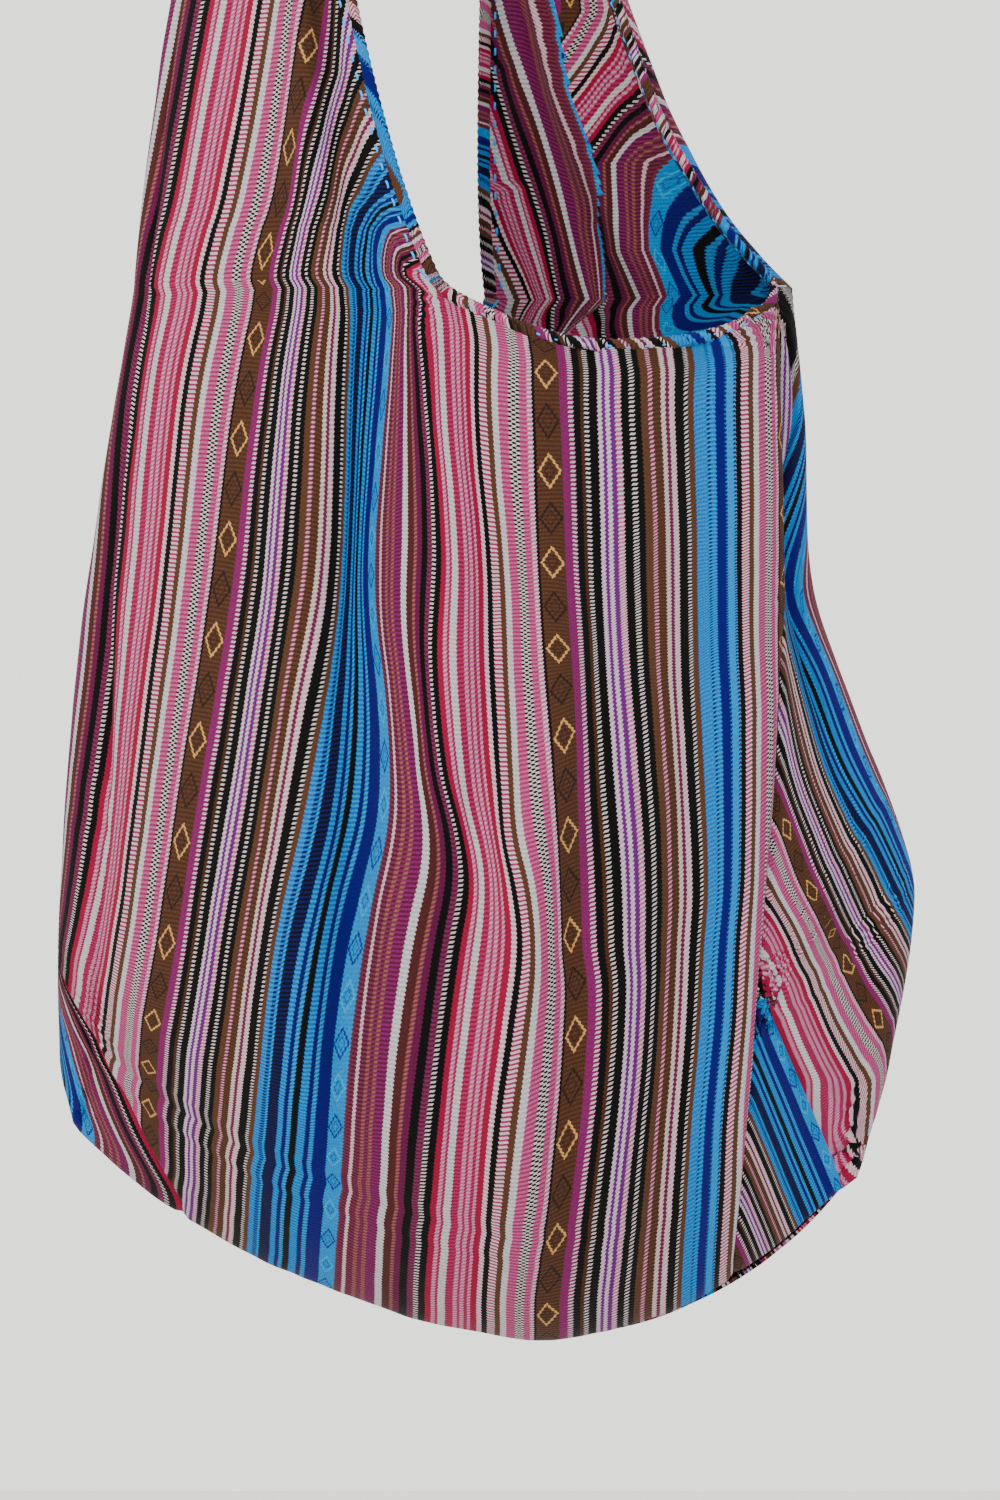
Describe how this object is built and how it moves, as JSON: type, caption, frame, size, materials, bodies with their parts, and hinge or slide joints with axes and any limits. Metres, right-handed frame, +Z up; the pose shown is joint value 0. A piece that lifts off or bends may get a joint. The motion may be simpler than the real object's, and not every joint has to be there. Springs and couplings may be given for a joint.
{
  "type": "cotton sling bag",
  "caption": "Soft open-topped shoulder bag of striped woven cotton, two panels sewn together, each running up into one wide arm of the strap.",
  "frame": {"origin": "underside of the strap's crest, where the bag hangs, halfway between the front and back edges of the strap", "axes": "+Z up along the hanging bag, +X to the right seen from the front, front towards -Y"},
  "size_m": [0.3304, 0.1625, 0.7325],
  "materials": {
    "front_cloth": "matt woven cotton in warp stripes of pink, brown, black, white and blue",
    "back_cloth": "matt woven cotton in warp stripes of pink, brown, black, white and blue",
    "stitching": "bright blue sewing thread"
  },
  "bodies": {
    "root": {"front_panel": "front_cloth", "left_arm": "front_cloth", "back_panel": "back_cloth", "right_arm": "back_cloth"}
  },
  "joints": []
}
